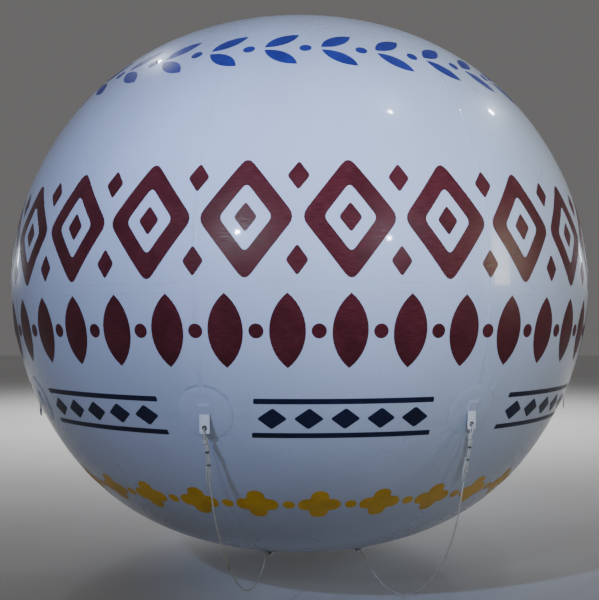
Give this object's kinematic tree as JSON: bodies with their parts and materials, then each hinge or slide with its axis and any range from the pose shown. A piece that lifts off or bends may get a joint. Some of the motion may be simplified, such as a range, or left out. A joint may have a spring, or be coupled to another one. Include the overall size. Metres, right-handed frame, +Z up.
{
  "type": "advertising sky balloon",
  "caption": "Big round PVC advertising sky balloon with rope tabs round its lower half, slack rope legs and an inflation valve with a hinged lid at its foot.",
  "frame": {"origin": "centre of the envelope's widest circle, the point that the air holds up", "axes": "+Z up through the crown cap, -Y to the printed front, +X to the right as the front is faced"},
  "size_m": [3.658, 3.658, 3.4229],
  "materials": {
    "envelope_pvc": "glossy off-white PVC film with painted decoration",
    "patch_pvc": "glossy off-white PVC patch, welded on",
    "tab_strip": "white coated webbing",
    "eyelet_metal": "rolled eyelet, dulled plating",
    "rope_fibre": "pale three-strand twisted rope",
    "valve_plastic": "moulded dark grey plastic"
  },
  "bodies": {
    "balloon": {"envelope_gore_1": "envelope_pvc", "envelope_gore_2": "envelope_pvc", "envelope_gore_3": "envelope_pvc", "envelope_gore_4": "envelope_pvc", "envelope_gore_5": "envelope_pvc", "envelope_gore_6": "envelope_pvc", "envelope_gore_7": "envelope_pvc", "envelope_gore_8": "envelope_pvc", "crown_cap": "patch_pvc", "base_cap": "patch_pvc", "load_patch_1": "patch_pvc", "load_patch_2": "patch_pvc", "load_patch_3": "patch_pvc", "load_patch_4": "patch_pvc", "load_patch_5": "patch_pvc", "load_patch_6": "patch_pvc", "load_patch_7": "patch_pvc", "load_patch_8": "patch_pvc", "rope_tab_1": "tab_strip", "rope_tab_2": "tab_strip", "rope_tab_3": "tab_strip", "rope_tab_4": "tab_strip", "rope_tab_5": "tab_strip", "rope_tab_6": "tab_strip", "rope_tab_7": "tab_strip", "rope_tab_8": "tab_strip", "eyelet_1": "eyelet_metal", "eyelet_2": "eyelet_metal", "eyelet_3": "eyelet_metal", "eyelet_4": "eyelet_metal", "eyelet_5": "eyelet_metal", "eyelet_6": "eyelet_metal", "eyelet_7": "eyelet_metal", "eyelet_8": "eyelet_metal", "belay_patch_front_left": "patch_pvc", "belay_patch_front_right": "patch_pvc", "belay_patch_rear_right": "patch_pvc", "belay_patch_rear_left": "patch_pvc", "belay_loop_front_left": "tab_strip", "belay_loop_front_right": "tab_strip", "belay_loop_rear_right": "tab_strip", "belay_loop_rear_left": "tab_strip", "rope_hitch_front_left": "rope_fibre", "rope_hitch_front_right": "rope_fibre", "rope_hitch_rear_right": "rope_fibre", "rope_hitch_rear_left": "rope_fibre", "rope_leg_front_left": "rope_fibre", "rope_leg_front_right": "rope_fibre", "rope_leg_rear_right": "rope_fibre", "rope_leg_rear_left": "rope_fibre", "valve_body": "valve_plastic"},
    "lid": {"valve_lid": "valve_plastic"}
  },
  "joints": [
    {"name": "valve_lid_hinge", "type": "hinge", "parent": "balloon", "child": "lid", "pos_m": [0, 0.084, -1.66417], "axis": [1, 0, 0], "range_deg": [0, 120]}
  ]
}
